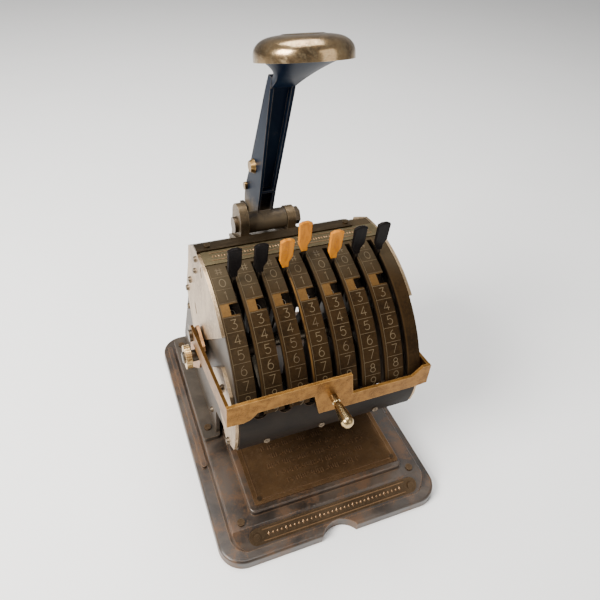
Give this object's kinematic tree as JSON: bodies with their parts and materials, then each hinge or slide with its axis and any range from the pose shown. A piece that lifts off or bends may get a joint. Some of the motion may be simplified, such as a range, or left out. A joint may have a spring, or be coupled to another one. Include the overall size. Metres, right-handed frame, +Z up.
{
  "type": "check writer",
  "caption": "Hand-operated check writer: slotted cylindrical face with sliding key segments, a clearing bail, and a palm lever that lifts a platen.",
  "frame": {"origin": "centre of the underside of the base", "axes": "+Z up, -Y towards the operator (front face and bail), +X to the operator's right"},
  "size_m": [0.19, 0.251, 0.3599],
  "materials": {
    "japan_black": "worn black japanning",
    "sheet_black": "dark painted sheet",
    "plate_brass": "darkened brass",
    "screw_brass": "worn brass",
    "frame_iron": "dark iron",
    "end_steel": "streaked bare steel",
    "face_bronze": "aged bronze",
    "title_brass": "olive brass",
    "bar_steel": "dark steel",
    "cover_black": "dark grey-black",
    "screw_steel": "worn steel",
    "shaft_steel": "oiled steel",
    "bracket_copper": "copper-coloured bronze",
    "bracket_iron": "grey-brown iron",
    "segment_steel": "blackened steel",
    "tab_black": "polished black",
    "tab_ivory": "aged ivory",
    "bail_brass": "pitted ochre brass",
    "knob_nickel": "worn nickel",
    "nut_brass": "knurled brass",
    "lever_enamel": "gloss blue-black enamel",
    "cap_nickel": "worn nickel",
    "pad_rubber": "matt",
    "spring_steel": "blued"
  },
  "bodies": {
    "frame": {"base_casting": "japan_black", "bottom_plate": "sheet_black", "instruction_plate": "plate_brass", "front_plate": "plate_brass", "base_screws": "screw_brass", "side_frame_left": "frame_iron", "side_frame_right": "frame_iron", "end_plate_left": "end_steel", "end_plate_right": "end_steel", "toe_plate_left": "end_steel", "toe_plate_right": "end_steel", "face_plate": "face_bronze", "title_plate": "title_brass", "top_bar": "bar_steel", "top_rail": "frame_iron", "rear_hood": "sheet_black", "lower_cover": "cover_black", "cover_screws": "screw_steel", "drum_shaft": "shaft_steel", "shaft_collars": "shaft_steel", "tie_rods": "shaft_steel", "pivot_bracket": "bracket_copper", "bail_pivots": "screw_steel", "frame_screws": "screw_steel", "lever_bracket": "bracket_iron", "pivot_pin": "screw_steel", "rod_guide": "sheet_black"},
    "segment_1": {"number_segment_1": "segment_steel", "key_tab_1": "tab_black"},
    "segment_2": {"number_segment_2": "segment_steel", "key_tab_2": "tab_black"},
    "segment_3": {"number_segment_3": "segment_steel", "key_tab_3": "tab_ivory"},
    "segment_4": {"number_segment_4": "segment_steel", "key_tab_4": "tab_ivory"},
    "segment_5": {"number_segment_5": "segment_steel", "key_tab_5": "tab_ivory"},
    "segment_6": {"number_segment_6": "segment_steel", "key_tab_6": "tab_black"},
    "segment_7": {"number_segment_7": "segment_steel", "key_tab_7": "tab_black"},
    "bail": {"clearing_bail": "bail_brass", "bail_handle": "knob_nickel"},
    "thumb_nut": {"thumb_nut": "nut_brass"},
    "lever": {"lever_arm": "lever_enamel", "palm_cap": "cap_nickel", "lever_bolts": "screw_brass"},
    "platen": {"platen_carriage": "shaft_steel", "platen_pad": "pad_rubber", "return_spring": "spring_steel"}
  },
  "joints": [
    {"name": "key_1", "type": "hinge", "parent": "frame", "child": "segment_1", "pos_m": [0, 0.0103, 0.0983], "axis": [-1, 0, 0], "range_deg": [-43.4, 6.2]},
    {"name": "key_2", "type": "hinge", "parent": "frame", "child": "segment_2", "pos_m": [0, 0.0103, 0.0983], "axis": [-1, 0, 0], "range_deg": [-43.4, 6.2]},
    {"name": "key_3", "type": "hinge", "parent": "frame", "child": "segment_3", "pos_m": [0, 0.0103, 0.0983], "axis": [-1, 0, 0], "range_deg": [-43.4, 6.2]},
    {"name": "key_4", "type": "hinge", "parent": "frame", "child": "segment_4", "pos_m": [0, 0.0103, 0.0983], "axis": [-1, 0, 0], "range_deg": [-49.6, 0]},
    {"name": "key_5", "type": "hinge", "parent": "frame", "child": "segment_5", "pos_m": [0, 0.0103, 0.0983], "axis": [-1, 0, 0], "range_deg": [-49.6, 6.2]},
    {"name": "key_6", "type": "hinge", "parent": "frame", "child": "segment_6", "pos_m": [0, 0.0103, 0.0983], "axis": [-1, 0, 0], "range_deg": [-49.6, 6.2]},
    {"name": "key_7", "type": "hinge", "parent": "frame", "child": "segment_7", "pos_m": [0, 0.0103, 0.0983], "axis": [-1, 0, 0], "range_deg": [-49.6, 6.2]},
    {"name": "bail_swing", "type": "hinge", "parent": "frame", "child": "bail", "pos_m": [0, 0.016, 0.116], "axis": [-1, 0, 0], "range_deg": [-12, 44]},
    {"name": "thumb_nut_turn", "type": "hinge", "parent": "frame", "child": "thumb_nut", "pos_m": [-0.0877, 0.0103, 0.0983], "axis": [-1, 0, 0], "continuous": true},
    {"name": "lever_pull", "type": "hinge", "parent": "frame", "child": "lever", "pos_m": [-0.01, 0.048, 0.196], "axis": [1, 0, 0], "range_deg": [0, 26], "stiffness_Nm_per_rad": 2, "springref_deg": -20.05},
    {"name": "platen_lift", "type": "slide", "parent": "frame", "child": "platen", "axis": [0, 0, 1], "range_m": [0, 0.0126], "deforming": ["return_spring"]}
  ],
  "couplings": [
    {"joint": "platen_lift", "follows": "lever_pull", "m_per_rad": 0.02776}
  ]
}
